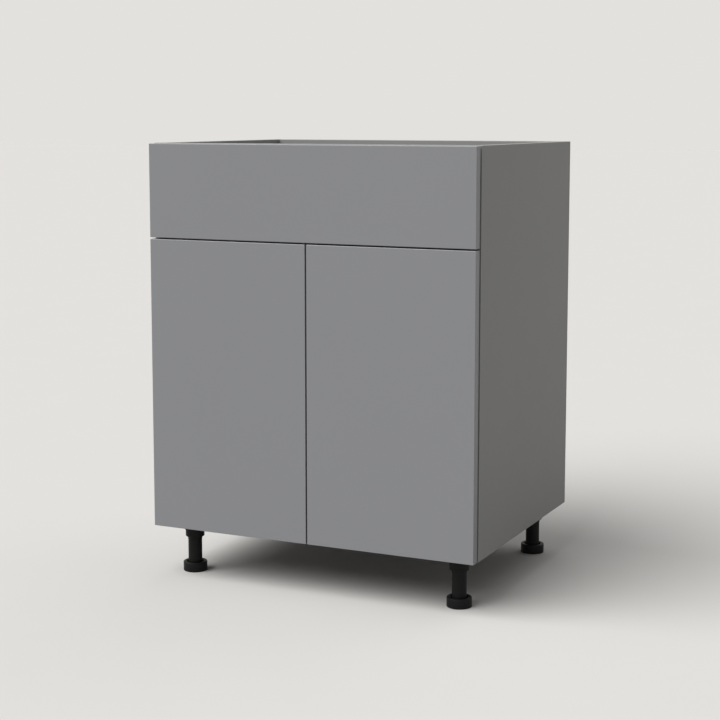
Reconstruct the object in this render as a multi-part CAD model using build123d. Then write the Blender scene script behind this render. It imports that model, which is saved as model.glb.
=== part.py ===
from build123d import *
from math import hypot
import os

# Kitchen base cabinet: one drawer over two doors, on four adjustable legs.
# Sizes are in millimetres. X runs to the right, Y from the front to the wall, Z up.
# The origin lies on the floor under the middle of the cabinet.

# Outer sizes
WIDTH = 686.0
CARCASS_H = 762.0
CARCASS_D = 511.0
LEG_H = 102.0

# Board thicknesses and the small rounds on their edges
PANEL_T = 18.0
FRONT_T = 19.0
BACK_T = 6.0
BOX_T = 15.0
BOX_BOTTOM_T = 6.0
EDGE_EASE = 0.5
FRONT_ROUND = 1.0

# Lines between the fronts
FRONT_GAP = 3.0
SIDE_REVEAL = 1.5
TOP_REVEAL = 1.0
FRONT_SPLIT = 3.0
DRAWER_FRONT_H = 183.0

# Rails and the groove for the back
FRONT_RAIL_H = 50.0
REAR_RAIL_H = 100.0
MIDDLE_RAIL_D = 80.0
GROOVE_DEEP = 6.0
GROOVE_PLAY = 0.2
WALL_HOLE_D = 8.0
WALL_HOLE_SPAN = 500.0
WALL_HOLE_DROP = 60.0

# Cam fittings and dowels of the carcass
CAM_D = 15.0
CAM_H = 12.5
CAM_SETBACK = 34.0
CAM_SLOT_W = 2.0
CAM_SLOT_DEEP = 2.0
BOLT_D = 6.0
BOLT_SHANK_D = 4.6
BOLT_GRIP = 11.0
BOLT_STOP = 3.0
BOLT_HEAD_H = 4.0
DOWEL_D = 8.0
DOWEL_L = 30.0
DOWEL_GRIP = 11.0
DOWEL_STEP = 32.0
RAIL_DOWEL_STEP = 20.0
JOINT_INSET = 60.0
RAIL_JOINT_INSET = 24.0
RAIL_JOINT_DROP = 15.0
FIT_PLAY = 0.05
OVERCUT = 1.0

# Shelf and its rows of peg holes
SHELF_RISE = 285.0
SHELF_SETBACK = 32.0
SHELF_PLAY = 1.5
SHELF_BACK_GAP = 20.0
PEG_D = 5.0
PEG_GRIP = 8.0
PEG_REACH = 9.0
PEG_COLLAR_D = 8.0
PEG_COLLAR_GAP = 0.4
ROW_INSET = 37.0
ROW_PITCH = 32.0
ROW_HOLES = 5

# Drawer box
BOX_H = 105.0
BOX_LIFT = 8.5
BOX_REAR_GAP = 40.0
BOX_BOTTOM_RISE = 12.0
BOX_GROOVE_DEEP = 6.0
BOX_DOWEL_D = 6.0
BOX_DOWEL_L = 30.0
BOX_DOWEL_INSET = 26.0
FRONT_SCREW_X = 220.0
FRONT_SCREW_Z = 24.0

# Ball-bearing runners: three nested channels a side
RUNNER_T = 12.7
RUNNER_H = 45.0
RUNNER_METAL = 1.2
RUNNER_BEND = 2.0
RUNNER_SETBACK = 2.0
RUNNER_SCREW_INSET = 37.0
RUNNER_SLOTS = 4
RUNNER_SLOT_L = 9.0
RUNNER_SLOT_W = 4.6
RUNNER_LIP = 10.2
MIDDLE_H = 35.4
MIDDLE_IN = 4.0
MIDDLE_OUT = 11.0
SLIDE_H = 26.4
SLIDE_LIP = 6.4
RUNNER_STOP_W = 3.0
CAGE_W = 3.8
CAGE_L = 180.0
CAGE_INSET = 20.0

# Wood screws: shank, head and grip
SCREW_D = 3.6
SCREW_HEAD_D = 7.0
SCREW_HEAD_H = 1.6
SCREW_GRIP = 11.0
SCREW_PLAY = 0.05

# Cup hinge, measured from the door's outer edge and from its inner face
CUP_D = 35.0
CUP_EDGE = 4.5
CUP_DEEP = 12.0
CUP_WALL = 0.9
CUP_FLOOR = 1.0
CUP_ROUND = 1.5
CUP_SCREW_STEP = 9.5
CUP_SCREW_Z = 22.5
FLANGE_T = 1.0
FLANGE_IN = 18.0
FLANGE_OUT = 41.0
FLANGE_H = 58.0
FLANGE_ROUND = 4.0
LUG_T = 2.0
LUG_W = 5.6
HINGE_INSET = 95.0
ARM_PIN_E = 32.3
ARM_PIN_H = -5.1
CUP_PIN_E = 12.8
CUP_PIN_H = -8.0
INNER_PIN_E = 35.95
INNER_PIN_H = 5.9
INNER_TIP_E = 11.62
INNER_TIP_H = -2.35
PIN_D = 3.0
PIN_PLAY = 0.05
LINK_BOW = 2.0
LINK_W = 2.6
LINK_T = 1.6
LINK_EYE_D = 5.2
INNER_T = 5.2
INNER_W = 1.8
INNER_EYE_D = 5.0
INNER_TIP_D = 2.2
LINK_SPACE = 0.6
ARM_WALL = 1.2
ARM_PLAY = 0.4
ARM_EYE_D = 5.0
ARM_IN = 25.0
ARM_OUT = 38.5
ARM_FROM = 14.0
ARM_TO = 75.0
ARM_WEB_FROM = 9.5
ARM_SCREW_AT = 60.0
ARM_SLOT_L = 9.0
ARM_END_ROUND = 4.0
PLATE_AT = 37.0
PLATE_BASE_T = 3.5
PLATE_BASE_D = 18.0
PLATE_SCREW_SPAN = 32.0
PLATE_FROM = 20.0
PLATE_TO = 72.0
PLATE_TOP = 34.0
PLATE_PLAY = 0.2
PLATE_SLOPE = 4.0

# Push latches under the middle rail
LATCH_X = 45.0
LATCH_W = 14.0
LATCH_L = 62.0
LATCH_H = 14.0
LATCH_SETBACK = 1.5
LATCH_EAR_W = 8.0
LATCH_EAR_T = 3.0
LATCH_ROUND = 2.5
LATCH_SCREW_AT = 44.0
LATCH_COLLAR_D = 11.0
LATCH_COLLAR_H = 1.2
PLUNGER_D = 8.0
PLUNGER_L = 34.0
PLUNGER_TIP_ROUND = 0.8
PLUNGER_STROKE = 3.0
PLUNGER_PLAY = 0.1
STRIKE_SIZE = 18.0
STRIKE_T = 0.8

# Legs: screwed socket, tube and screw-in foot
LEG_SIDE_SETBACK = 55.0
LEG_FRONT_SETBACK = 45.0
LEG_BACK_SETBACK = 47.0
SOCKET_D = 38.0
SOCKET_H = 31.0
SOCKET_FLANGE_D = 62.0
SOCKET_FLANGE_T = 4.0
SOCKET_BORE_DEEP = 21.0
SOCKET_EASE = 1.0
SOCKET_RIBS = 4
SOCKET_RIB_T = 2.5
SOCKET_RIB_H = 16.0
TUBE_D = 28.0
COLLAR_D = 30.5
COLLAR_H = 8.0
STEM_D = 20.0
STEM_L = 52.0
STEM_HEADROOM = 6.0
STEM_PLAY = 0.1
FOOT_D = 48.0
FOOT_H = 19.0
FOOT_SEAT = 8.0
FOOT_RIM_ROUND = 2.0
FOOT_BASE_EASE = 1.2
FOOT_RECESS_D = 34.0
LEG_SCREW_R = 25.0

# Planes that follow from the sizes
Y_FACE = -(CARCASS_D + FRONT_GAP + FRONT_T) / 2
Y_DOOR = Y_FACE + FRONT_T
Y_FRONT = Y_DOOR + FRONT_GAP
Y_BACK = Y_FRONT + CARCASS_D
X_OUT = WIDTH / 2
X_IN = X_OUT - PANEL_T
Z_BASE = LEG_H
Z_FLOOR = Z_BASE + PANEL_T
Z_TOP = Z_BASE + CARCASS_H
DRAWER_Z1 = Z_TOP - TOP_REVEAL
DRAWER_Z0 = DRAWER_Z1 - DRAWER_FRONT_H
DOOR_Z1 = DRAWER_Z0 - FRONT_SPLIT
RAIL_Z = DRAWER_Z0 - FRONT_SPLIT / 2
RAIL_Z0 = RAIL_Z - PANEL_T / 2
RAIL_Z1 = RAIL_Z + PANEL_T / 2
BACK_Y1 = Y_BACK - PANEL_T
BACK_Y0 = BACK_Y1 - BACK_T
SHELF_Z0 = Z_FLOOR + SHELF_RISE
BOX_X = X_IN - RUNNER_T
BOX_Z0 = RAIL_Z1 + BOX_LIFT
BOX_Z1 = BOX_Z0 + BOX_H
BOX_Y1 = BACK_Y0 - BOX_REAR_GAP
RUNNER_L = BOX_Y1 - Y_DOOR
RUNNER_Z = (BOX_Z0 + BOX_Z1) / 2
RUNNER_Y0 = Y_FRONT + RUNNER_SETBACK
CUP_E = CUP_EDGE + CUP_D / 2
PANEL_E = PANEL_T - SIDE_REVEAL
ARM_PIVOT = (ARM_PIN_E, ARM_PIN_H)
CUP_PIVOT = (CUP_PIN_E, CUP_PIN_H)
INNER_ARM_PIVOT = (INNER_PIN_E, INNER_PIN_H)
INNER_CUP_END = (INNER_TIP_E, INNER_TIP_H)
PLATE_H = PLATE_AT + FRONT_GAP
LINK_Z0 = INNER_T / 2 + LINK_SPACE
LINK_Z1 = LINK_Z0 + LINK_T
ARM_Z0 = LINK_Z1 + ARM_PLAY
ARM_Z1 = ARM_Z0 + ARM_WALL
HINGE_ZS = (Z_BASE + HINGE_INSET, DOOR_Z1 - HINGE_INSET)
LEG_YS = (Y_FRONT + LEG_FRONT_SETBACK, Y_BACK - LEG_BACK_SETBACK)
LEG_XS = (LEG_SIDE_SETBACK - X_OUT, X_OUT - LEG_SIDE_SETBACK)
LEG_SPOTS = [(x, y) for y in LEG_YS for x in LEG_XS]
LATCH_Z = RAIL_Z0 - LATCH_H / 2
SIDES = (-1, 1)
SIDE_NAMES = {-1: "left", 1: "right"}
DOWN = Vector(0, 0, -1)
REAR = Vector(0, 1, 0)


# Plain shapes


def block(x, y, z):
    """Box between three pairs of limits."""
    spans = (sorted(x), sorted(y), sorted(z))
    middle = [(low + high) / 2 for low, high in spans]
    size = [high - low for low, high in spans]
    return Pos(*middle) * Box(*size)


def rod(start, end, diameter):
    """Round bar between two points."""
    run = Vector(*end) - Vector(*start)
    place = Plane(origin=tuple(start), z_dir=run)
    base = (Align.CENTER, Align.CENTER, Align.MIN)
    return place * Cylinder(diameter / 2, run.length, align=base)


def turned(start, way, outline):
    """Solid turned about a line; the outline gives radius and distance along the line."""
    face = make_face(Polyline(*outline, close=True))
    solid = revolve(Plane.XZ * face, Axis.Z)
    return Plane(origin=tuple(start), z_dir=way) * solid


def stretched(circles):
    """Plan shape stretched round circles given as (x, y, diameter)."""
    rounds = [Pos(x, y) * Circle(diameter / 2) for x, y, diameter in circles]
    return make_hull([edge for one in rounds for edge in one.edges()])


def raised(shape, low, high):
    """Plan shape raised between two heights."""
    return Pos(0, 0, low) * extrude(shape, high - low, dir=(0, 0, 1))


def from_side(shape, start, depth):
    """Shape drawn in Y and Z, pushed along X from a start by a depth."""
    place = Plane(origin=(start, 0, 0), x_dir=(0, 1, 0), z_dir=(1, 0, 0))
    return extrude(place * shape, abs(depth), dir=(depth, 0, 0))


def board(x, y, z):
    """Board with its edges eased."""
    return chamfer(block(x, y, z).edges(), EDGE_EASE)


def cut_all(body, tools):
    """Take every tool away from the body."""
    for tool in tools:
        body -= tool
    return body


def screw(head, way, grip, play=0.0):
    """Pan-head screw: the head sits on the surface at the point, the shank runs the given way."""
    seat = Vector(*head)
    point = seat + way * grip
    shank = rod(seat, point, SCREW_D + 2 * play)
    if play:
        return shank
    return shank + rod(seat - way * SCREW_HEAD_H, seat, SCREW_HEAD_D)


# Corner joints of the carcass


def joint(y, z, mouth, step):
    """One board end: place of the bolt, way the cam faces and step to the dowel."""
    return {"y": y, "z": z, "mouth": mouth, "step": step}


def bottom_joints():
    low = Z_BASE + PANEL_T / 2
    front = joint(Y_FRONT + JOINT_INSET, low, DOWN, (DOWEL_STEP, 0))
    rear = joint(BACK_Y0 - JOINT_INSET, low, DOWN, (-DOWEL_STEP, 0))
    return [front, rear]


def middle_rail_joints():
    return [joint(Y_FRONT + RAIL_JOINT_INSET, RAIL_Z, DOWN, (DOWEL_STEP, 0))]


def front_rail_joints():
    high = Z_TOP - RAIL_JOINT_DROP
    return [joint(Y_FRONT + PANEL_T / 2, high, REAR, (0, -RAIL_DOWEL_STEP))]


def rear_rail_joints():
    high = Z_TOP - RAIL_JOINT_DROP
    return [joint(Y_BACK - PANEL_T / 2, high, REAR, (0, -RAIL_DOWEL_STEP))]


def all_joints():
    return bottom_joints() + middle_rail_joints() + front_rail_joints() + rear_rail_joints()


def bolt_bore(side, at):
    """Bore that clears the bolt in the side panel, the board end and the cam."""
    outer = (side * (X_IN + BOLT_GRIP + FIT_PLAY), at["y"], at["z"])
    inner = (side * (X_IN - CAM_SETBACK + BOLT_STOP - FIT_PLAY), at["y"], at["z"])
    return rod(outer, inner, BOLT_D + 2 * FIT_PLAY)


def cam_bolt(side, at):
    """Bolt gripped in the side panel, its head caught by the cam behind a slim shank."""
    length = BOLT_GRIP + CAM_SETBACK - BOLT_STOP
    thick = BOLT_D / 2
    slim = BOLT_SHANK_D / 2
    outline = [(0, 0), (thick, 0), (thick, BOLT_GRIP), (slim, BOLT_GRIP), (slim, length - BOLT_HEAD_H)]
    outline += [(thick, length - BOLT_HEAD_H / 2), (thick, length), (0, length)]
    return turned((side * (X_IN + BOLT_GRIP), at["y"], at["z"]), Vector(-side, 0, 0), outline)


def cam_pocket(side, at, play=0.0):
    """Round of the cam, from the face of its board inwards."""
    centre = Vector(side * (X_IN - CAM_SETBACK), at["y"], at["z"])
    mouth = centre + at["mouth"] * (PANEL_T / 2)
    floor = mouth - at["mouth"] * (CAM_H + play)
    return rod(mouth, floor, CAM_D + 2 * play)


def cam_lock(side, at):
    """Cam with the bolt's bore and a screwdriver slot."""
    body = cam_pocket(side, at)
    body -= bolt_bore(side, at)
    centre = Vector(side * (X_IN - CAM_SETBACK), at["y"], at["z"]) + at["mouth"] * (PANEL_T / 2)
    inner = centre - at["mouth"] * CAM_SLOT_DEEP
    across = CAM_D / 2 - CAM_SLOT_W
    half = CAM_SLOT_W / 2
    x = (centre.X - across, centre.X + across)
    if at["mouth"].Z:
        return body - block(x, (centre.Y - half, centre.Y + half), (inner.Z, centre.Z))
    return body - block(x, (inner.Y, centre.Y), (centre.Z - half, centre.Z + half))


def dowel(side, at, play=0.0):
    """Wooden dowel, part in the side panel and part in the board end."""
    y = at["y"] + at["step"][0]
    z = at["z"] + at["step"][1]
    outer = (side * (X_IN + DOWEL_GRIP + play), y, z)
    inner = (side * (X_IN - DOWEL_L + DOWEL_GRIP - play), y, z)
    return rod(outer, inner, DOWEL_D + 2 * play)


def joint_cuts(joints):
    """Every bore that a board needs for its cams, bolts and dowels."""
    tools = []
    for at in joints:
        for side in SIDES:
            tools.append(cam_pocket(side, at, FIT_PLAY))
            tools.append(bolt_bore(side, at))
            tools.append(dowel(side, at, FIT_PLAY))
    return tools


def joint_pieces(make):
    return Compound(children=[make(side, at) for at in all_joints() for side in SIDES])


# Carcass boards


def peg_rows():
    """Places of the shelf holes: depth and height."""
    ys = (Y_FRONT + ROW_INSET, BACK_Y0 - ROW_INSET)
    start = SHELF_Z0 - PEG_D / 2 - ROW_PITCH * (ROW_HOLES // 2)
    return [(y, start + ROW_PITCH * step) for y in ys for step in range(ROW_HOLES)]


def peg_hole(side, y, z):
    mouth = (side * (X_IN - OVERCUT), y, z)
    end = (side * (X_IN + PEG_GRIP + FIT_PLAY), y, z)
    return rod(mouth, end, PEG_D + 2 * FIT_PLAY)


def side_panel(side):
    panel = board((side * X_IN, side * X_OUT), (Y_FRONT, Y_BACK), (Z_BASE, Z_TOP))
    slot_y = (BACK_Y0 - GROOVE_PLAY / 2, BACK_Y1)
    slot_x = (side * (X_IN - OVERCUT), side * (X_IN + GROOVE_DEEP))
    panel -= block(slot_x, slot_y, (Z_BASE - OVERCUT, Z_TOP + OVERCUT))
    tools = [bolt_bore(side, at) for at in all_joints()]
    tools += [dowel(side, at, FIT_PLAY) for at in all_joints()]
    tools += [peg_hole(side, y, z) for y, z in peg_rows()]
    tools += [runner_screw(side, y, SCREW_PLAY) for y in runner_screw_ys()]
    tools += [plate_screw(side, z, SCREW_PLAY) for z in plate_screw_zs()]
    return cut_all(panel, tools)


def bottom_panel():
    panel = board((-X_IN, X_IN), (Y_FRONT, Y_BACK), (Z_BASE, Z_FLOOR))
    slot_y = (BACK_Y0 - GROOVE_PLAY / 2, BACK_Y1)
    panel -= block((-X_OUT, X_OUT), slot_y, (Z_FLOOR - GROOVE_DEEP, Z_FLOOR + OVERCUT))
    tools = joint_cuts(bottom_joints())
    tools += [leg_screw(x, y, turn, SCREW_PLAY) for x, y in LEG_SPOTS for turn in SIDES]
    return cut_all(panel, tools)


def back_panel():
    reach = X_IN + GROOVE_DEEP - GROOVE_PLAY
    panel = block((-reach, reach), (BACK_Y0, BACK_Y1), (Z_FLOOR - GROOVE_DEEP, Z_TOP - EDGE_EASE))
    return cut_all(panel, wall_holes())


def wall_holes():
    """Bores for the wall screws, through the back and the rear rail."""
    height = Z_TOP - WALL_HOLE_DROP
    xs = [side * WALL_HOLE_SPAN / 2 for side in SIDES]
    return [rod((x, BACK_Y0 - OVERCUT, height), (x, Y_BACK + OVERCUT, height), WALL_HOLE_D) for x in xs]


def rear_top_rail():
    rail = board((-X_IN, X_IN), (BACK_Y1, Y_BACK), (Z_TOP - REAR_RAIL_H, Z_TOP))
    return cut_all(rail, joint_cuts(rear_rail_joints()) + wall_holes())


def front_top_rail():
    rail = board((-X_IN, X_IN), (Y_FRONT, Y_FRONT + PANEL_T), (Z_TOP - FRONT_RAIL_H, Z_TOP))
    return cut_all(rail, joint_cuts(front_rail_joints()))


def middle_rail():
    rail = board((-X_IN, X_IN), (Y_FRONT, Y_FRONT + MIDDLE_RAIL_D), (RAIL_Z0, RAIL_Z1))
    tools = joint_cuts(middle_rail_joints())
    tools += [latch_screw(side, ear, SCREW_PLAY) for side in SIDES for ear in SIDES]
    return cut_all(rail, tools)


def shelf():
    reach = X_IN - SHELF_PLAY
    y = (Y_FRONT + SHELF_SETBACK, BACK_Y0 - SHELF_BACK_GAP)
    return board((-reach, reach), y, (SHELF_Z0, SHELF_Z0 + PANEL_T))


def shelf_peg(side, y, z):
    """Peg with a collar that stops it at the side panel."""
    pin = PEG_D / 2
    wide = PEG_COLLAR_D / 2
    collar = PEG_GRIP + SHELF_PLAY - PEG_COLLAR_GAP
    end = PEG_GRIP + PEG_REACH
    outline = [(0, 0), (pin, 0), (pin, PEG_GRIP), (wide, PEG_GRIP)]
    outline += [(wide, collar), (pin, collar), (pin, end), (0, end)]
    return turned((side * (X_IN + PEG_GRIP), y, z), Vector(-side, 0, 0), outline)


def shelf_pegs():
    ys = (Y_FRONT + ROW_INSET, BACK_Y0 - ROW_INSET)
    z = SHELF_Z0 - PEG_D / 2
    pegs = []
    for side in SIDES:
        for y in ys:
            pegs.append(shelf_peg(side, y, z))
    return Compound(children=pegs)


# Drawer


def box_dowel(side, y, z, play=0.0):
    outer = (side * (BOX_X - BOX_T / 2 + play), y, z)
    inner = (side * (BOX_X - BOX_T / 2 - BOX_DOWEL_L / 2 - play), y, z)
    return rod(outer, inner, BOX_DOWEL_D + 2 * play)


def box_dowel_spots():
    ys = (Y_DOOR + BOX_T / 2, BOX_Y1 - BOX_T / 2)
    zs = (BOX_Z0 + BOX_DOWEL_INSET, BOX_Z1 - BOX_DOWEL_INSET)
    return [(y, z) for y in ys for z in zs]


def box_floor_slot():
    low = BOX_Z0 + BOX_BOTTOM_RISE
    reach = BOX_X - BOX_T + BOX_GROOVE_DEEP
    y = (Y_DOOR + BOX_T - BOX_GROOVE_DEEP, BOX_Y1 - BOX_T + BOX_GROOVE_DEEP)
    return block((-reach, reach), y, (low, low + BOX_BOTTOM_T))


def drawer_side(side):
    panel = board((side * (BOX_X - BOX_T), side * BOX_X), (Y_DOOR, BOX_Y1), (BOX_Z0, BOX_Z1))
    tools = [box_floor_slot()]
    tools += [box_dowel(side, y, z, FIT_PLAY) for y, z in box_dowel_spots()]
    tools += [slide_screw(side, y, SCREW_PLAY) for y in runner_screw_ys()]
    return cut_all(panel, tools)


def drawer_cross(y0, y1):
    """Board between the drawer sides."""
    reach = BOX_X - BOX_T
    panel = board((-reach, reach), (y0, y1), (BOX_Z0, BOX_Z1))
    tools = [box_floor_slot()]
    tools += [box_dowel(side, y, z, FIT_PLAY) for side in SIDES for y, z in box_dowel_spots()]
    return cut_all(panel, tools)


def drawer_inner_front():
    panel = drawer_cross(Y_DOOR, Y_DOOR + BOX_T)
    return cut_all(panel, [front_screw(x, z, SCREW_PLAY) for x, z in front_screw_spots()])


def drawer_back():
    return drawer_cross(BOX_Y1 - BOX_T, BOX_Y1)


def drawer_bottom():
    return box_floor_slot()


def drawer_front():
    reach = X_OUT - SIDE_REVEAL
    panel = fillet(block((-reach, reach), (Y_FACE, Y_DOOR), (DRAWER_Z0, DRAWER_Z1)).edges(), FRONT_ROUND)
    return cut_all(panel, [front_screw(x, z, SCREW_PLAY) for x, z in front_screw_spots()])


def front_screw_spots():
    return [(sx * FRONT_SCREW_X, RUNNER_Z + sz * FRONT_SCREW_Z) for sx in SIDES for sz in SIDES]


def front_screw(x, z, play=0.0):
    return screw((x, Y_DOOR + BOX_T, z), Vector(0, -1, 0), BOX_T + SCREW_GRIP, play)


def box_dowels():
    spots = box_dowel_spots()
    return Compound(children=[box_dowel(side, y, z) for side in SIDES for y, z in spots])


# Runners


def channel(side, web, lip, height, y0, y1):
    """Bent steel channel along Y: web on one face, lips to the other, distances from the side panel."""
    metal = RUNNER_METAL if lip > web else -RUNNER_METAL
    half = height / 2
    inner = half - RUNNER_METAL
    corners = [(web, -half), (lip, -half), (lip, -inner), (web + metal, -inner)]
    corners += [(distance, -height) for distance, height in reversed(corners)]
    face = make_face(Polyline(*[(side * (X_IN - t), RUNNER_Z + z) for t, z in corners], close=True))
    outer_bends = face.vertices().filter_by_position(Axis.X, *around(side * (X_IN - web)))
    face = fillet(outer_bends, RUNNER_BEND)
    inner_bends = face.vertices().filter_by_position(Axis.X, *around(side * (X_IN - web - metal)))
    inner_bends = inner_bends.filter_by(lambda corner: abs(abs(corner.Y - RUNNER_Z) - inner) < FIT_PLAY)
    face = fillet(inner_bends, RUNNER_BEND - RUNNER_METAL)
    return Pos(0, y0, 0) * extrude(Plane.XZ * face, y1 - y0, dir=(0, 1, 0))


def around(value):
    """Narrow limits round a value."""
    return value - FIT_PLAY, value + FIT_PLAY


def runner_screw_ys():
    first = RUNNER_Y0 + RUNNER_SCREW_INSET
    last = RUNNER_Y0 + RUNNER_L - RUNNER_SCREW_INSET
    return [first, (first + last) / 2, last]


def web_slots(side, start):
    """Spare oblong holes in a runner's web, spread between the screws."""
    ys = runner_screw_ys()
    step = (ys[-1] - ys[0]) / RUNNER_SLOTS
    tools = []
    for number in range(RUNNER_SLOTS):
        y = ys[0] + step * (number + 0.5)
        ends = [y - RUNNER_SLOT_L / 2, y + RUNNER_SLOT_L / 2]
        shape = stretched([(end, RUNNER_Z, RUNNER_SLOT_W) for end in ends])
        tools.append(from_side(shape, side * (X_IN - start), -side * RUNNER_METAL))
    return tools


def runner_screw(side, y, play=0.0):
    seat = (side * (X_IN - RUNNER_METAL), y, RUNNER_Z)
    return screw(seat, Vector(side, 0, 0), RUNNER_METAL + SCREW_GRIP, play)


def slide_screw(side, y, play=0.0):
    seat = (side * (BOX_X + RUNNER_METAL), y, RUNNER_Z)
    return screw(seat, Vector(-side, 0, 0), RUNNER_METAL + SCREW_GRIP, play)


def runner_rail(side):
    """Fixed channel on the side panel, with a stop lip at its rear end."""
    rail = channel(side, 0, RUNNER_LIP, RUNNER_H, RUNNER_Y0, RUNNER_Y0 + RUNNER_L)
    end = (RUNNER_Y0 + RUNNER_L - RUNNER_METAL, RUNNER_Y0 + RUNNER_L)
    tab = (side * X_IN, side * (X_IN - MIDDLE_IN - RUNNER_STOP_W))
    rail += block(tab, end, (RUNNER_Z - RUNNER_STOP_W, RUNNER_Z + RUNNER_STOP_W))
    tools = [runner_screw(side, y, SCREW_PLAY) for y in runner_screw_ys()]
    return cut_all(rail, tools + web_slots(side, 0))


def runner_middle(side):
    return channel(side, MIDDLE_IN, MIDDLE_OUT, MIDDLE_H, RUNNER_Y0, RUNNER_Y0 + RUNNER_L - 2 * RUNNER_METAL)


def runner_slide(side):
    """Inner channel on the drawer side."""
    slide = channel(side, RUNNER_T, SLIDE_LIP, SLIDE_H, RUNNER_Y0, RUNNER_Y0 + RUNNER_L - 3 * RUNNER_METAL)
    tools = [slide_screw(side, y, SCREW_PLAY) for y in runner_screw_ys()]
    return cut_all(slide, tools + web_slots(side, RUNNER_T - RUNNER_METAL))


def ball_cages(side):
    """Ball cages between the lips: the outer pair near the rear, the inner pair near the front."""
    rear = RUNNER_Y0 + RUNNER_L - 2 * RUNNER_METAL - CAGE_INSET
    front = RUNNER_Y0 + CAGE_INSET
    middle = (MIDDLE_OUT + SLIDE_LIP) / 2
    x = (side * (X_IN - middle - CAGE_W / 2), side * (X_IN - middle + CAGE_W / 2))
    outer = (MIDDLE_H / 2, RUNNER_H / 2 - RUNNER_METAL)
    inner = (SLIDE_H / 2, MIDDLE_H / 2 - RUNNER_METAL)
    cages = []
    for way in SIDES:
        z = [RUNNER_Z + way * reach for reach in outer]
        cages.append(block(x, (rear - CAGE_L, rear), z))
        z = [RUNNER_Z + way * reach for reach in inner]
        cages.append(block(x, (front, front + CAGE_L), z))
    return cages


def screws_along(make):
    return Compound(children=[make(side, y) for side in SIDES for y in runner_screw_ys()])


# Doors and cup hinges


def spot(side, at):
    """Plan point of the hinge: distance from the door's outer edge and from its inner face."""
    return (side * (X_OUT - SIDE_REVEAL - at[0]), Y_DOOR + at[1])


def upright(side, at, low, high, diameter):
    """Round bar along Z at a hinge point."""
    x, y = spot(side, at)
    return rod((x, y, low), (x, y, high), diameter)


def hinge_block(side, e, h, z):
    """Box in hinge distances."""
    x0, y0 = spot(side, (e[0], h[0]))
    x1, y1 = spot(side, (e[1], h[1]))
    return block((x0, x1), (y0, y1), z)


def cup_round(side, z, diameter, low, high):
    """Round of the cup, square to the door's face."""
    x = spot(side, (CUP_E, 0))[0]
    return rod((x, Y_DOOR + low, z), (x, Y_DOOR + high, z), diameter)


def cup_screw(side, z, way, play=0.0):
    x = spot(side, (CUP_E + CUP_SCREW_STEP, 0))[0]
    seat = (x, Y_DOOR + FLANGE_T, z + way * CUP_SCREW_Z)
    return screw(seat, Vector(0, -1, 0), FLANGE_T + SCREW_GRIP, play)


def door(side):
    outer = side * (X_OUT - SIDE_REVEAL)
    inner = side * FRONT_SPLIT / 2
    panel = fillet(block((outer, inner), (Y_FACE, Y_DOOR), (Z_BASE, DOOR_Z1)).edges(), FRONT_ROUND)
    for z in HINGE_ZS:
        panel -= cup_round(side, z, CUP_D + 2 * FIT_PLAY, -CUP_DEEP, OVERCUT)
        for way in SIDES:
            panel -= cup_screw(side, z, way, SCREW_PLAY)
    return panel


def hinge_cup(side, z):
    """Cup with its flange, two pin lugs and a gate in the rim for the inner link."""
    cup = cup_round(side, z, CUP_D, -CUP_DEEP, 0)
    cup = fillet(cup.edges().sort_by(Axis.Y)[0], CUP_ROUND)
    flange = hinge_block(side, (FLANGE_IN, FLANGE_OUT), (0, FLANGE_T), (z - FLANGE_H / 2, z + FLANGE_H / 2))
    cup += fillet(flange.edges().filter_by(Axis.Y), FLANGE_ROUND)
    cup -= cup_round(side, z, CUP_D - 2 * CUP_WALL, CUP_FLOOR - CUP_DEEP, FLANGE_T + OVERCUT)
    gate = (CUP_EDGE - OVERCUT, CUP_EDGE + LUG_W)
    half = INNER_T / 2 + LINK_SPACE
    cup -= hinge_block(side, gate, (INNER_TIP_H, OVERCUT), (z - half, z + half))
    e = (CUP_PIVOT[0] - LUG_W / 2, CUP_PIVOT[0] + LUG_W / 2)
    h = (CUP_FLOOR - CUP_DEEP, CUP_PIVOT[1] + LUG_W / 2)
    for way in SIDES:
        cup += hinge_block(side, e, h, (z + way * ARM_Z0, z + way * (ARM_Z0 + LUG_T)))
        cup -= cup_screw(side, z, way, SCREW_PLAY)
    reach = ARM_Z0 + LUG_T
    return cup - upright(side, CUP_PIVOT, z - reach, z + reach, PIN_D + 2 * FIT_PLAY)


def cup_pin(side, z):
    reach = ARM_Z0 + LUG_T
    return upright(side, CUP_PIVOT, z - reach, z + reach, PIN_D)


def arm_pins(side, z):
    """The two pins of one arm."""
    pivots = (ARM_PIVOT, INNER_ARM_PIVOT)
    return [upright(side, at, z - ARM_Z1, z + ARM_Z1, PIN_D) for at in pivots]


def ring(side, at, diameter):
    """Circle of a plan shape at a hinge point."""
    return (*spot(side, at), diameter)


def pin_holes(side, pivots, play):
    """Plan circles that clear the pins."""
    return [Pos(*spot(side, at)) * Circle(PIN_D / 2 + play) for at in pivots]


def outer_link(side, z, way):
    """Bowed link plate between the arm pin and the cup pin."""
    low, high = sorted((z + way * LINK_Z0, z + way * LINK_Z1))
    run = (ARM_PIVOT[0] - CUP_PIVOT[0], ARM_PIVOT[1] - CUP_PIVOT[1])
    length = hypot(*run)
    middle = (CUP_PIVOT[0] + run[0] / 2, CUP_PIVOT[1] + run[1] / 2)
    bend = (middle[0] + LINK_BOW * run[1] / length, middle[1] - LINK_BOW * run[0] / length)
    waist = ring(side, bend, LINK_W)
    shape = stretched([ring(side, CUP_PIVOT, LINK_EYE_D), waist])
    shape += stretched([waist, ring(side, ARM_PIVOT, LINK_EYE_D)])
    shape = cut_all(shape, pin_holes(side, (CUP_PIVOT, ARM_PIVOT), PIN_PLAY))
    return raised(shape, low, high)


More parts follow.
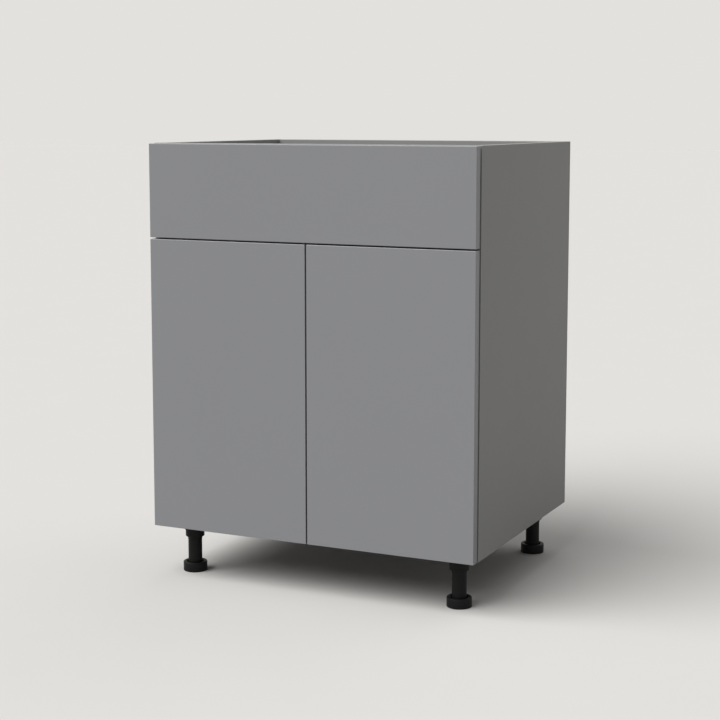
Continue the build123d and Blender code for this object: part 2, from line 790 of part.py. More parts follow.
def inner_link(side, z):
    """Straight link on the second arm pin, its round tip free in the cup."""
    tip = ring(side, INNER_CUP_END, INNER_TIP_D)
    neck = ring(side, INNER_ARM_PIVOT, INNER_W)
    shape = stretched([tip, neck]) + Pos(*spot(side, INNER_ARM_PIVOT)) * Circle(INNER_EYE_D / 2)
    shape = cut_all(shape, pin_holes(side, [INNER_ARM_PIVOT], PIN_PLAY))
    return raised(shape, z - INNER_T / 2, z + INNER_T / 2)


def arm_cheek(side):
    """Plan shape of an arm's cheek: nose between the pins, widening back to the body."""
    corner = ARM_END_ROUND
    outer = ARM_OUT - corner / 2
    body = [(ARM_IN + corner / 2, ARM_FROM), (outer, ARM_FROM), (ARM_IN + corner / 2, ARM_TO - corner / 2)]
    body += [(outer, ARM_TO - corner / 2)]
    shape = stretched([ring(side, at, ARM_EYE_D) for at in (ARM_PIVOT, INNER_ARM_PIVOT)])
    shape += stretched([ring(side, INNER_ARM_PIVOT, ARM_EYE_D)] + [ring(side, at, corner) for at in body[:2]])
    shape += stretched([ring(side, at, corner) for at in body])
    return cut_all(shape, pin_holes(side, (ARM_PIVOT, INNER_ARM_PIVOT), FIT_PLAY))


def hinge_arm(side, z):
    """Channel arm over the plate, its two cheeks drawn out to the nose in the cup."""
    web_h = (ARM_WEB_FROM, ARM_TO - ARM_END_ROUND / 2)
    arm = hinge_block(side, (ARM_OUT - ARM_WALL, ARM_OUT), web_h, (z - ARM_Z1, z + ARM_Z1))
    for way in SIDES:
        low, high = sorted((z + way * ARM_Z0, z + way * ARM_Z1))
        arm += raised(arm_cheek(side), low, high)
    for step in SIDES:
        x, y = spot(side, (ARM_OUT + OVERCUT, ARM_SCREW_AT + step * ARM_SLOT_L / 2))
        depth = side * (ARM_WALL + 2 * OVERCUT)
        arm -= rod((x, y, z), (x + depth, y, z), SCREW_D + 2 * SCREW_PLAY)
    slot_h = (ARM_SCREW_AT - ARM_SLOT_L / 2, ARM_SCREW_AT + ARM_SLOT_L / 2)
    slot_e = (ARM_OUT - ARM_WALL - OVERCUT, ARM_OUT + OVERCUT)
    half = SCREW_D / 2 + SCREW_PLAY
    return arm - hinge_block(side, slot_e, slot_h, (z - half, z + half))


def arm_screw(side, z, play=0.0):
    x, y = spot(side, (ARM_OUT, ARM_SCREW_AT))
    return screw((x, y, z), Vector(side, 0, 0), SCREW_GRIP, play)


def plate_screw_zs():
    return [z + way * PLATE_SCREW_SPAN / 2 for z in HINGE_ZS for way in SIDES]


def plate_screw(side, z, play=0.0):
    x, y = spot(side, (PANEL_E + PLATE_BASE_T, PLATE_H))
    return screw((x, y, z), Vector(side, 0, 0), PLATE_BASE_T + SCREW_GRIP, play)


def hinge_plate(side, z):
    """Cross plate on the side panel: two round-ended wings and a sloped bridge that fills the arm."""
    y = spot(side, (PANEL_E, PLATE_H))[1]
    ends = [z + way * PLATE_SCREW_SPAN / 2 for way in SIDES]
    wings = stretched([(y, end, PLATE_BASE_D) for end in ends])
    plate = from_side(wings, side * X_IN, -side * PLATE_BASE_T)
    rise = ARM_Z0 - PLATE_PLAY
    bridge = hinge_block(side, (PANEL_E, PLATE_TOP), (PLATE_FROM, PLATE_TO), (z - rise, z + rise))
    crest = bridge.edges().filter_by(Axis.Z).sort_by(lambda edge: abs(edge.center().X))[:2]
    plate += chamfer(crest, PLATE_SLOPE)
    plate = cut_all(plate, [plate_screw(side, end, SCREW_PLAY) for end in ends])
    return plate - arm_screw(side, z, SCREW_PLAY)


def over_hinges(make, sides=SIDES):
    return [make(side, z) for side in sides for z in HINGE_ZS]


# Push latches


def latch_body(side):
    """Latch case with two screw ears against the rail and the plunger's bore."""
    x = side * LATCH_X
    y0 = Y_FRONT + LATCH_SETBACK
    half = LATCH_W / 2
    case = block((x - half, x + half), (y0, y0 + LATCH_L), (RAIL_Z0 - LATCH_H, RAIL_Z0))
    case = fillet(case.edges().filter_by(Axis.Y).group_by(Axis.Z)[0], LATCH_ROUND)
    reach = half + LATCH_EAR_W / 2
    ears = stretched([(x + way * reach, y0 + LATCH_SCREW_AT, LATCH_EAR_W) for way in SIDES])
    case += raised(ears, RAIL_Z0 - LATCH_EAR_T, RAIL_Z0)
    front = y0 - LATCH_COLLAR_H
    case += rod((x, front, LATCH_Z), (x, y0, LATCH_Z), LATCH_COLLAR_D)
    deep = plunger_y0() + PLUNGER_L + PLUNGER_STROKE + OVERCUT
    case -= rod((x, front, LATCH_Z), (x, deep, LATCH_Z), PLUNGER_D + 2 * PLUNGER_PLAY)
    return cut_all(case, [latch_screw(side, ear, SCREW_PLAY) for ear in SIDES])


def latch_screw(side, ear, play=0.0):
    x = side * LATCH_X + ear * (LATCH_W + LATCH_EAR_W) / 2
    seat = (x, Y_FRONT + LATCH_SETBACK + LATCH_SCREW_AT, RAIL_Z0 - LATCH_EAR_T)
    return screw(seat, Vector(0, 0, 1), LATCH_EAR_T + SCREW_GRIP, play)


def plunger_y0():
    return Y_DOOR + STRIKE_T


def latch_plunger(side):
    x = side * LATCH_X
    pin = rod((x, plunger_y0(), LATCH_Z), (x, plunger_y0() + PLUNGER_L, LATCH_Z), PLUNGER_D)
    tip = pin.edges().sort_by(Axis.Y)[0]
    return fillet(tip, PLUNGER_TIP_ROUND)


def strike_plate(side):
    x = side * LATCH_X
    half = STRIKE_SIZE / 2
    plate = block((x - half, x + half), (Y_DOOR, Y_DOOR + STRIKE_T), (LATCH_Z - half, LATCH_Z + half))
    return fillet(plate.edges().filter_by(Axis.Y), PLUNGER_STROKE)


# Legs


def leg_socket(x, y):
    """Socket with a screwed flange and a blind bore for the tube."""
    low = Z_BASE - SOCKET_H
    step = Z_BASE - SOCKET_FLANGE_T
    wide = SOCKET_D / 2
    bore = TUBE_D / 2 + FIT_PLAY
    outline = [(bore, low), (wide - SOCKET_EASE, low), (wide, low + SOCKET_EASE), (wide, step)]
    outline += [(SOCKET_FLANGE_D / 2, step), (SOCKET_FLANGE_D / 2, Z_BASE), (0, Z_BASE)]
    outline += [(0, low + SOCKET_BORE_DEEP), (bore, low + SOCKET_BORE_DEEP)]
    body = turned((x, y, 0), Vector(0, 0, 1), outline)
    for number in range(SOCKET_RIBS):
        body += Pos(x, y, 0) * Rot(0, 0, 360 * (number + 0.5) / SOCKET_RIBS) * socket_rib()
    return cut_all(body, [leg_screw(x, y, turn, SCREW_PLAY) for turn in SIDES])


def socket_rib():
    """Gusset between the socket's barrel and its flange, pointing along X."""
    step = Z_BASE - SOCKET_FLANGE_T
    root = SOCKET_D / 2 - SOCKET_EASE
    tip = SOCKET_FLANGE_D / 2 - SOCKET_EASE
    outline = [(root, step - SOCKET_RIB_H), (root, step), (tip, step)]
    face = Plane.XZ * make_face(Polyline(*outline, close=True))
    return extrude(face, SOCKET_RIB_T / 2, both=True)


def leg_screw(x, y, turn, play=0.0):
    seat = (x + turn * LEG_SCREW_R, y, Z_BASE - SOCKET_FLANGE_T)
    return screw(seat, Vector(0, 0, 1), SOCKET_FLANGE_T + SCREW_GRIP, play)


def leg_tube(x, y):
    """Tube with a tapered collar under the socket, bored for the foot's stem."""
    low = Z_BASE - SOCKET_H
    top = low + SOCKET_BORE_DEEP
    wide = TUBE_D / 2
    bore = STEM_D / 2 + STEM_PLAY
    deep = FOOT_SEAT + STEM_L + STEM_HEADROOM
    outline = [(bore, FOOT_SEAT), (wide, FOOT_SEAT), (wide, low - COLLAR_H), (COLLAR_D / 2, low), (wide, low)]
    outline += [(wide, top), (0, top), (0, deep), (bore, deep)]
    return turned((x, y, 0), Vector(0, 0, 1), outline)


def leg_foot(x, y):
    """Round foot with a dished top and the stem that screws into the tube."""
    wide = FOOT_D / 2
    dish = FOOT_RECESS_D / 2
    stem = STEM_D / 2
    top = FOOT_SEAT + STEM_L
    outline = [(0, 0), (wide - FOOT_BASE_EASE, 0), (wide, FOOT_BASE_EASE), (wide, FOOT_H), (dish, FOOT_H)]
    outline += [(dish, FOOT_SEAT), (stem, FOOT_SEAT), (stem, top), (0, top)]
    body = turned((x, y, 0), Vector(0, 0, 1), outline)
    return fillet(body.edges().filter_by_position(Axis.Z, *around(FOOT_H)), FOOT_RIM_ROUND)


def over_legs(make):
    return Compound(children=[make(x, y) for x, y in LEG_SPOTS])


# One file for each piece

pieces = {
    "bottom_panel": bottom_panel(),
    "back_panel": back_panel(),
    "rear_top_rail": rear_top_rail(),
    "front_top_rail": front_top_rail(),
    "middle_rail": middle_rail(),
    "shelf": shelf(),
    "shelf_pegs": shelf_pegs(),
    "cam_locks": joint_pieces(cam_lock),
    "cam_bolts": joint_pieces(cam_bolt),
    "wood_dowels": joint_pieces(dowel),
    "runner_rail_screws": screws_along(runner_screw),
    "runner_ball_cages": Compound(children=[cage for s in SIDES for cage in ball_cages(s)]),
    "hinge_plates": Compound(children=over_hinges(hinge_plate)),
    "hinge_plate_screws": Compound(children=[plate_screw(s, z) for s in SIDES for z in plate_screw_zs()]),
    "hinge_arm_screws": Compound(children=over_hinges(arm_screw)),
    "hinge_arm_pins": Compound(children=[pin for pair in over_hinges(arm_pins) for pin in pair]),
    "latch_bodies": Compound(children=[latch_body(s) for s in SIDES]),
    "latch_screws": Compound(children=[latch_screw(s, ear) for s in SIDES for ear in SIDES]),
    "leg_sockets": over_legs(leg_socket),
    "leg_tubes": over_legs(leg_tube),
    "leg_screws": Compound(children=[leg_screw(x, y, t) for x, y in LEG_SPOTS for t in SIDES]),
    "drawer_front": drawer_front(),
    "drawer_inner_front": drawer_inner_front(),
    "drawer_back": drawer_back(),
    "drawer_bottom": drawer_bottom(),
    "drawer_dowels": box_dowels(),
    "drawer_front_screws": Compound(children=[front_screw(x, z) for x, z in front_screw_spots()]),
    "runner_slide_screws": screws_along(slide_screw),
}

for side in SIDES:
    name = SIDE_NAMES[side]
    links = [outer_link(side, z, way) for z in HINGE_ZS for way in SIDES]
    cup_fixings = [cup_screw(side, z, way) for z in HINGE_ZS for way in SIDES]
    pieces["side_panel_" + name] = side_panel(side)
    pieces["runner_rail_" + name] = runner_rail(side)
    pieces["runner_middle_" + name] = runner_middle(side)
    pieces["runner_slide_" + name] = runner_slide(side)
    pieces["drawer_side_" + name] = drawer_side(side)
    pieces["hinge_arms_" + name] = Compound(children=over_hinges(hinge_arm, [side]))
    pieces["hinge_outer_links_" + name] = Compound(children=links)
    pieces["hinge_inner_links_" + name] = Compound(children=over_hinges(inner_link, [side]))
    pieces["door_" + name] = door(side)
    pieces["hinge_cups_" + name] = Compound(children=over_hinges(hinge_cup, [side]))
    pieces["hinge_cup_pins_" + name] = Compound(children=over_hinges(cup_pin, [side]))
    pieces["hinge_cup_screws_" + name] = Compound(children=cup_fixings)
    pieces["latch_plunger_" + name] = latch_plunger(side)
    pieces["strike_plate_" + name] = strike_plate(side)

for x, y in LEG_SPOTS:
    depth = "front" if y < 0 else "rear"
    name = "left" if x < 0 else "right"
    pieces["foot_" + depth + "_" + name] = leg_foot(x, y)

os.makedirs("parts", exist_ok=True)
for name, piece in pieces.items():
    export_step(piece, "parts/" + name + ".step")
print(len(pieces), "pieces written")
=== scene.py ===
# %% [markdown]
# # A handleless kitchen base cabinet
# The solid model already holds every board, hinge, runner and leg at its true size.
# Here those solids get their finishes, and the small turned, threaded and stamped
# pieces that a solid modeller leaves plain are worked out as surfaces. Everything
# is in metres, with the front facing -Y and the floor at z = 0.

# %% Load the frame
import bpy
import numpy as np
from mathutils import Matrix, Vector


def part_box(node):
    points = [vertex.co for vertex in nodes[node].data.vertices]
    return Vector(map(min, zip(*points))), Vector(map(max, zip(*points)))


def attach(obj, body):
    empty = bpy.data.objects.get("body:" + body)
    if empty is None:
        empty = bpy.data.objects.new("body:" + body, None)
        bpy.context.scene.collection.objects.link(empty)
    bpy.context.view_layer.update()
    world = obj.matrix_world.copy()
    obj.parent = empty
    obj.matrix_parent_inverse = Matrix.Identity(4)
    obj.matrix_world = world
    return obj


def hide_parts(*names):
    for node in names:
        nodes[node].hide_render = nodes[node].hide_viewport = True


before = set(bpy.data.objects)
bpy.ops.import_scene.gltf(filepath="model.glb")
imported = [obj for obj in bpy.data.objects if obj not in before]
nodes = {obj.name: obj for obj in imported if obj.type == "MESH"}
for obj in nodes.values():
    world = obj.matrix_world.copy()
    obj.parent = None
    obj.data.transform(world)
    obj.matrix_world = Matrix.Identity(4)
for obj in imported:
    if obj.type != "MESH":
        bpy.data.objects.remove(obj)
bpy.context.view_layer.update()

MM = 0.001

# %% [markdown]
# ## Colours as they are seen
# Colours are written as the 0 to 255 values that a screen shows. Blender mixes light
# in linear values, so one function turns the first into the second.

# %% Colour helper
def seen(red, green, blue):
    """Linear colour with alpha from screen values: the inverse of the sRGB curve."""
    screen = np.array([red, green, blue]) / 255
    linear = np.where(screen <= 0.04045, screen / 12.92, ((screen + 0.055) / 1.055) ** 2.4)
    return (*linear.tolist(), 1.0)


FRONT_GREY = seen(137, 138, 141)
CARCASS_GREY = seen(136, 136, 135)
DRAWER_GREY = seen(142, 142, 142)
print("front grey in linear light", [round(part, 3) for part in FRONT_GREY[:3]])

# %% [markdown]
# ## Small tools for node trees
# A finish is a tree of nodes. A few helpers keep the trees readable: one adds a node
# with its settings, one fills a socket with a number or a link, two make the maths and
# noise nodes that every finish needs, and one starts a node group whose inputs and
# outputs carry names. A group is built once and then placed in every finish that uses it.

# %% Node helpers
NOISE_MIDDLE = 0.5


def add(tree, kind, **settings):
    """New node of a kind, with its properties set by name."""
    node = tree.nodes.new(kind)
    for name, value in settings.items():
        setattr(node, name, value)
    return node


def feed(tree, value, socket):
    """Fill a socket with a plain number, or join it to the socket that the value comes from."""
    if isinstance(value, (int, float)):
        socket.default_value = value
    else:
        tree.links.new(value, socket)


def maths(tree, operation, *values):
    """Maths node on numbers or sockets, in the order of its inputs; returns the result's socket."""
    node = add(tree, "ShaderNodeMath", operation=operation)
    for value, socket in zip(values, node.inputs):
        feed(tree, value, socket)
    return node.outputs[0]


def noise(tree, position, scale, detail, roughness=0.5):
    """Noise read at a position, with values between 0 and 1; returns the value's socket."""
    node = add(tree, "ShaderNodeTexNoise")
    tree.links.new(position, node.inputs["Vector"])
    feed(tree, scale, node.inputs["Scale"])
    node.inputs["Detail"].default_value = detail
    node.inputs["Roughness"].default_value = roughness
    return node.outputs[0]


def start_group(name, takes, gives):
    """Empty shader group with named sockets; takes maps a name to (kind, default)."""
    tree = bpy.data.node_groups.new(name, "ShaderNodeTree")
    for label, (kind, default) in takes.items():
        socket = tree.interface.new_socket(label, in_out="INPUT", socket_type="NodeSocket" + kind)
        if default is not None:
            socket.default_value = default
    for label, kind in gives.items():
        tree.interface.new_socket(label, in_out="OUTPUT", socket_type="NodeSocket" + kind)
    return tree, add(tree, "NodeGroupInput"), add(tree, "NodeGroupOutput")


print("node helpers ready")

# %% [markdown]
# ## Where a board has its edges
# On a real cabinet each board is foil on a chipboard core, with a thin band glued round
# its edges. The band is handled more, so it is a touch glossier. Its colour is also lifted
# paler: partly this is the band's own paler tone, and mostly it is a painted highlight of the
# light that the edges catch. A board is a box, so the mask needs no painting: measure how far
# a point lies from each pair of faces, and where the second smallest of the three distances
# is small, two faces meet and the point is on an edge.

# %% Group for the edges of a board
def edge_group():
    """Edge mask of a box: 1 where the second smallest distance to its faces is 0.

    The mask fades to 0 over Width.
    """
    takes = {
        "Position": ("Vector", None),
        "Centre": ("Vector", (0, 0, 0)),
        "Half size": ("Vector", (1, 1, 1)),
        "Width": ("Float", 0.002),
    }
    tree, enter, leave = start_group("board_edge", takes, {"Edge": "Float"})
    offset = add(tree, "ShaderNodeVectorMath", operation="SUBTRACT")
    size = add(tree, "ShaderNodeVectorMath", operation="ABSOLUTE")
    room = add(tree, "ShaderNodeVectorMath", operation="SUBTRACT")
    parts = add(tree, "ShaderNodeSeparateXYZ")
    tree.links.new(enter.outputs["Position"], offset.inputs[0])
    tree.links.new(enter.outputs["Centre"], offset.inputs[1])
    tree.links.new(offset.outputs[0], size.inputs[0])
    tree.links.new(enter.outputs["Half size"], room.inputs[0])
    tree.links.new(size.outputs[0], room.inputs[1])
    tree.links.new(room.outputs[0], parts.inputs[0])
    x, y, z = parts.outputs
    low = maths(tree, "MINIMUM", x, y)
    high = maths(tree, "MAXIMUM", x, y)
    second = maths(tree, "MAXIMUM", low, maths(tree, "MINIMUM", high, z))
    share = maths(tree, "DIVIDE", second, enter.outputs["Width"])
    fade = add(tree, "ShaderNodeMapRange", interpolation_type="SMOOTHSTEP")
    fade.inputs["To Min"].default_value = 1
    fade.inputs["To Max"].default_value = 0
    tree.links.new(share, fade.inputs["Value"])
    tree.links.new(fade.outputs[0], leave.inputs["Edge"])
    return tree


BOARD_EDGE = edge_group()
print("group", BOARD_EDGE.name, "has sockets", [s.name for s in BOARD_EDGE.interface.items_tree])

# %% [markdown]
# ## The surface of matt foil
# Matt furniture foil is never quite even. Under the eye it has a fine pebbled emboss that
# breaks up reflections, and over a hand's width the tone drifts by about one per cent.
# Two noises of very different size give both, and a third, faint one gives the smears of
# handling that show only in the gloss.

# %% Group for foil and lacquer
def foil_group():
    """Fine emboss height, slow drift of tone round 1 and handling smears, from three noises."""
    takes = {
        "Position": ("Vector", None),
        "Pebble": ("Float", 1400.0),
        "Drift": ("Float", 0.03),
        "Smear": ("Float", 0.06),
    }
    gives = {"Height": "Float", "Tone": "Float", "Gloss": "Float"}
    tree, enter, leave = start_group("matt_foil", takes, gives)
    position = enter.outputs["Position"]
    pebble = noise(tree, position, scale=enter.outputs["Pebble"], detail=2)
    slow = noise(tree, position, scale=5, detail=3)
    smear = noise(tree, position, scale=17, detail=6, roughness=0.62)
    swing = maths(tree, "MULTIPLY", maths(tree, "SUBTRACT", slow, NOISE_MIDDLE), enter.outputs["Drift"])
    rub = maths(tree, "MULTIPLY", maths(tree, "SUBTRACT", smear, NOISE_MIDDLE), enter.outputs["Smear"])
    tree.links.new(pebble, leave.inputs["Height"])
    tree.links.new(maths(tree, "ADD", swing, 1.0), leave.inputs["Tone"])
    tree.links.new(rub, leave.inputs["Gloss"])
    return tree


MATT_FOIL = foil_group()
print("group", MATT_FOIL.name, "has sockets", [s.name for s in MATT_FOIL.interface.items_tree])

# %% [markdown]
# ## One finish for each board
# Each board gets its own finish because the edge mask needs that board's box, which the
# frame gives. The colour is the foil's grey times the slow drift, lifted to a paler grey
# on the edges as a painted edge highlight, partly the band's own tone. Roughness falls a
# little on the edges, and the pebble drives a bump. The fronts get finer pebbles and a
# smoother surface than the rest, like lacquer.

# %% Parts of a finish
def new_finish(name, roughness, metallic=0.0, specular=0.5):
    """Empty material: returns it with its tree, its shader and the object coordinates."""
    finish = bpy.data.materials.new(name)
    finish.use_nodes = True
    tree = finish.node_tree
    shader = tree.nodes["Principled BSDF"]
    shader.inputs["Roughness"].default_value = roughness
    shader.inputs["Metallic"].default_value = metallic
    shader.inputs["Specular IOR Level"].default_value = specular
    position = add(tree, "ShaderNodeTexCoord").outputs["Object"]
    return finish, tree, shader, position


def place_group(tree, group, position, **values):
    """Instance of a group fed with the position; values are set by socket name, _ for a space."""
    node = add(tree, "ShaderNodeGroup", node_tree=group)
    tree.links.new(position, node.inputs["Position"])
    for label, value in values.items():
        node.inputs[label.replace("_", " ")].default_value = value
    return node


def tint(tree, colour, factor, shader):
    """Base colour as a fixed colour times a factor that changes over the surface."""
    scaled = add(tree, "ShaderNodeVectorMath", operation="SCALE")
    scaled.inputs[0].default_value = colour[:3]
    tree.links.new(factor, scaled.inputs["Scale"])
    tree.links.new(scaled.outputs[0], shader.inputs["Base Color"])


def emboss(tree, height, depth, shader):
    """Bump of a given depth in metres from a height between 0 and 1."""
    bump = add(tree, "ShaderNodeBump")
    bump.inputs["Distance"].default_value = depth
    tree.links.new(height, bump.inputs["Height"])
    tree.links.new(bump.outputs[0], shader.inputs["Normal"])


def dress(node, finish):
    """Give a solid one finish in all its slots."""
    slots = nodes[node].data.materials
    slots.clear()
    slots.append(finish)


print("parts of a finish ready")

# %% Board finish
BAND_AND_HIGHLIGHT_WIDTH = 1.6 * MM
# lifts the edge colour paler as a painted highlight, partly the band's own tone, and makes the edges
# glossier
EDGE_GLOSS_AND_HIGHLIGHT_LIFT = 0.22
PEBBLE_DEEP = 0.02 * MM
LACQUER_ROUGHNESS = 0.42
LACQUER_PEBBLE = 1700.0
FOIL_ROUGHNESS = 0.52
FOIL_PEBBLE = 1300.0
FRONTS = ("drawer_front", "door_left", "door_right")
CARCASS = ("side_panel_left", "side_panel_right", "bottom_panel", "back_panel", "rear_top_rail",
           "front_top_rail", "middle_rail", "shelf")
DRAWER = ("drawer_inner_front", "drawer_side_left", "drawer_side_right", "drawer_back", "drawer_bottom")


def board_finish(node, colour, roughness, pebble):
    """Matt foil on one board, with its edge band and painted edge highlight found from the board's own
    box.
    """
    finish, tree, shader, position = new_finish("foil_" + node, roughness)
    low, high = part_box(node)
    edge = place_group(tree, BOARD_EDGE, position, Centre=(low + high) / 2, Half_size=(high - low) / 2,
                       Width=BAND_AND_HIGHLIGHT_WIDTH)
    foil = place_group(tree, MATT_FOIL, position, Pebble=pebble)
    # painted edge highlight: the colour is lifted paler on the edges, partly the band's own paler tone
    lift = maths(tree, "MULTIPLY_ADD", edge.outputs["Edge"], EDGE_GLOSS_AND_HIGHLIGHT_LIFT, 1.0)
    tint(tree, colour, maths(tree, "MULTIPLY", lift, foil.outputs["Tone"]), shader)
    gloss = maths(tree, "MULTIPLY_ADD", edge.outputs["Edge"], -EDGE_GLOSS_AND_HIGHLIGHT_LIFT, foil.outputs["Gloss"])
    tree.links.new(maths(tree, "ADD", gloss, roughness), shader.inputs["Roughness"])
    emboss(tree, foil.outputs["Height"], PEBBLE_DEEP, shader)
    return finish


for node in FRONTS:
    dress(node, board_finish(node, FRONT_GREY, LACQUER_ROUGHNESS, LACQUER_PEBBLE))
for node in CARCASS:
    dress(node, board_finish(node, CARCASS_GREY, FOIL_ROUGHNESS, FOIL_PEBBLE))
for node in DRAWER:
    dress(node, board_finish(node, DRAWER_GREY, FOIL_ROUGHNESS, FOIL_PEBBLE))
print("boards dressed:", len(FRONTS + CARCASS + DRAWER))

# %% [markdown]
# ## Plated steel
# Hinges are nickel plated and runners zinc plated. Both are steel sheet that was rolled
# before it was bent, so faint streaks run along the piece, and the plating is cloudy.
# Stretching a noise along one axis gives the streaks; an unstretched one the clouds.

# %% Group for plated steel
def plating_group():
    """Streaks from a noise stretched by Grain, clouds from a plain one, both round 0."""
    takes = {"Position": ("Vector", None), "Grain": ("Vector", (400, 20, 400)), "Cloud": ("Float", 60.0)}
    tree, enter, leave = start_group("plated_steel", takes, {"Streak": "Float", "Cloud": "Float"})
    stretch = add(tree, "ShaderNodeVectorMath", operation="MULTIPLY")
    tree.links.new(enter.outputs["Position"], stretch.inputs[0])
    tree.links.new(enter.outputs["Grain"], stretch.inputs[1])
    streak = noise(tree, stretch.outputs[0], scale=1, detail=4)
    cloud = noise(tree, enter.outputs["Position"], scale=enter.outputs["Cloud"], detail=5)
    tree.links.new(maths(tree, "SUBTRACT", streak, NOISE_MIDDLE), leave.inputs["Streak"])
    tree.links.new(maths(tree, "SUBTRACT", cloud, NOISE_MIDDLE), leave.inputs["Cloud"])
    return tree


PLATED = plating_group()
print("group", PLATED.name, "has sockets", [s.name for s in PLATED.interface.items_tree])

# %% Plated finishes
ALONG_DEPTH = (900, 25, 900)
ALL_WAYS = (500, 500, 500)
STREAK_DEEP = 0.002 * MM
NICKEL_COLOUR = seen(206, 204, 198)
ZINC_COLOUR = seen(178, 181, 184)
SCREW_COLOUR = seen(190, 190, 188)


def plated_finish(name, colour, roughness, grain, cloudy, streaky):
    """Plated steel: clouds change its tone and streaks its roughness, each by a given share."""
    finish, tree, shader, position = new_finish(name, roughness, metallic=1.0)
    plating = place_group(tree, PLATED, position, Grain=grain)
    tint(tree, colour, maths(tree, "MULTIPLY_ADD", plating.outputs["Cloud"], cloudy, 1.0), shader)
    rough = maths(tree, "MULTIPLY_ADD", plating.outputs["Streak"], streaky, roughness)
    tree.links.new(rough, shader.inputs["Roughness"])
    emboss(tree, plating.outputs["Streak"], STREAK_DEEP, shader)
    return finish


NICKEL = plated_finish("nickel_plate", NICKEL_COLOUR, roughness=0.42, grain=ALL_WAYS,
                       cloudy=0.05, streaky=0.06)
ZINC = plated_finish("zinc_plate", ZINC_COLOUR, roughness=0.38, grain=ALONG_DEPTH,
                     cloudy=0.12, streaky=0.15)
SCREW_ZINC = plated_finish("screw_zinc", SCREW_COLOUR, roughness=0.30, grain=ALL_WAYS,
                           cloudy=0.06, streaky=0.08)
for node in nodes:
    if node.startswith(("hinge_", "strike_")):
        dress(node, NICKEL)
    if node.startswith("runner_"):
        dress(node, ZINC)
    if "screw" in node or node.startswith(("cam_", "shelf_pegs")):
        dress(node, SCREW_ZINC)
print("plated finishes:", NICKEL.name, ZINC.name, SCREW_ZINC.name)

# %% [markdown]
# ## Moulded plastic and bare beech
# The legs are moulded in black plastic with a spark-eroded grain: sharp small pits that
# keep the black from looking wet. The latches are the same in grey. Dowels are turned
# beech, with growth rings that show as streaks along the stick.

# %% Group for moulded grain
def moulding_group():
    """Pitted grain height from cells, and a slow change of gloss from a noise round 0."""
    takes = {"Position": ("Vector", None), "Pit": ("Float", 1500.0)}
    tree, enter, leave = start_group("moulded_grain", takes, {"Height": "Float", "Gloss": "Float"})
    pits = add(tree, "ShaderNodeTexVoronoi", feature="SMOOTH_F1")
    tree.links.new(enter.outputs["Position"], pits.inputs["Vector"])
    tree.links.new(enter.outputs["Pit"], pits.inputs["Scale"])
    flow = noise(tree, enter.outputs["Position"], scale=45, detail=3)
    tree.links.new(pits.outputs["Distance"], leave.inputs["Height"])
    tree.links.new(maths(tree, "SUBTRACT", flow, NOISE_MIDDLE), leave.inputs["Gloss"])
    return tree


MOULDED = moulding_group()
print("group", MOULDED.name, "has sockets", [s.name for s in MOULDED.interface.items_tree])

# %% Plastic and beech finishes
PIT_DEEP = 0.05 * MM
FLOW_TONE = 0.3
FLOW_GLOSS = 0.2
LEG_BLACK = seen(15, 15, 15)
LATCH_GREY = seen(118, 119, 122)
BEECH_COLOUR = seen(205, 172, 128)
BEECH_ROUGHNESS = 0.6
BEECH_STREAK = 0.5
ALONG_WIDTH = (30, 900, 900)


def moulded_finish(name, colour, roughness, specular):
    """Moulded plastic with pits in the bump and flow marks in tone and gloss."""
    finish, tree, shader, position = new_finish(name, roughness, specular=specular)
    grain = place_group(tree, MOULDED, position)
    tint(tree, colour, maths(tree, "MULTIPLY_ADD", grain.outputs["Gloss"], FLOW_TONE, 1.0), shader)
    rough = maths(tree, "MULTIPLY_ADD", grain.outputs["Gloss"], FLOW_GLOSS, roughness)
    tree.links.new(rough, shader.inputs["Roughness"])
    emboss(tree, grain.outputs["Height"], PIT_DEEP, shader)
    return finish


def beech_finish():
    """Turned beech: streaks along X from the plating group's stretched noise, in tone and bump."""
    finish, tree, shader, position = new_finish("beech", BEECH_ROUGHNESS)
    grain = place_group(tree, PLATED, position, Grain=ALONG_WIDTH)
    tone = maths(tree, "MULTIPLY_ADD", grain.outputs["Streak"], BEECH_STREAK, 1.0)
    tint(tree, BEECH_COLOUR, tone, shader)
    emboss(tree, grain.outputs["Streak"], PIT_DEEP, shader)
    return finish


BLACK_PLASTIC = moulded_finish("black_leg_plastic", LEG_BLACK, roughness=0.55, specular=0.18)
GREY_PLASTIC = moulded_finish("grey_latch_plastic", LATCH_GREY, roughness=0.48, specular=0.5)
BEECH = beech_finish()
for node in nodes:
    if node.startswith(("leg_sockets", "leg_tubes", "foot_")):
        dress(node, BLACK_PLASTIC)
    if node.startswith("latch_") and "screw" not in node:
        dress(node, GREY_PLASTIC)
    if node.endswith("dowels"):
        dress(node, BEECH)
print("plain solids dressed:", sum(bool(nodes[n].data.materials) for n in nodes), "of", len(nodes))

# %% [markdown]
# ## Turned skins
# A foot, a screw and a steel ball are all turned pieces: a profile goes once round an
# axis. Blender could spin an edge for this, but worked out as arrays the radius may also
# change on the way round, which is what a thread or a screw's cross needs. The skin is a
# grid of rings and columns that closes on itself, with one point on the axis at each end.

# %% Points and faces of a turned skin
def turned_points(radius, height, angle, ends):
    """Points of a turned skin: radius times cosine and sine of the angle, at the height.

    The skin starts and ends with a pole on the axis, at the heights in ends.
    """
    skin = np.stack(np.broadcast_arrays(radius * np.cos(angle), radius * np.sin(angle), height), axis=-1)
    poles = np.array([[0, 0, ends[0]], [0, 0, ends[1]]])
    return np.concatenate([poles[:1], skin.reshape(-1, 3), poles[1:]])


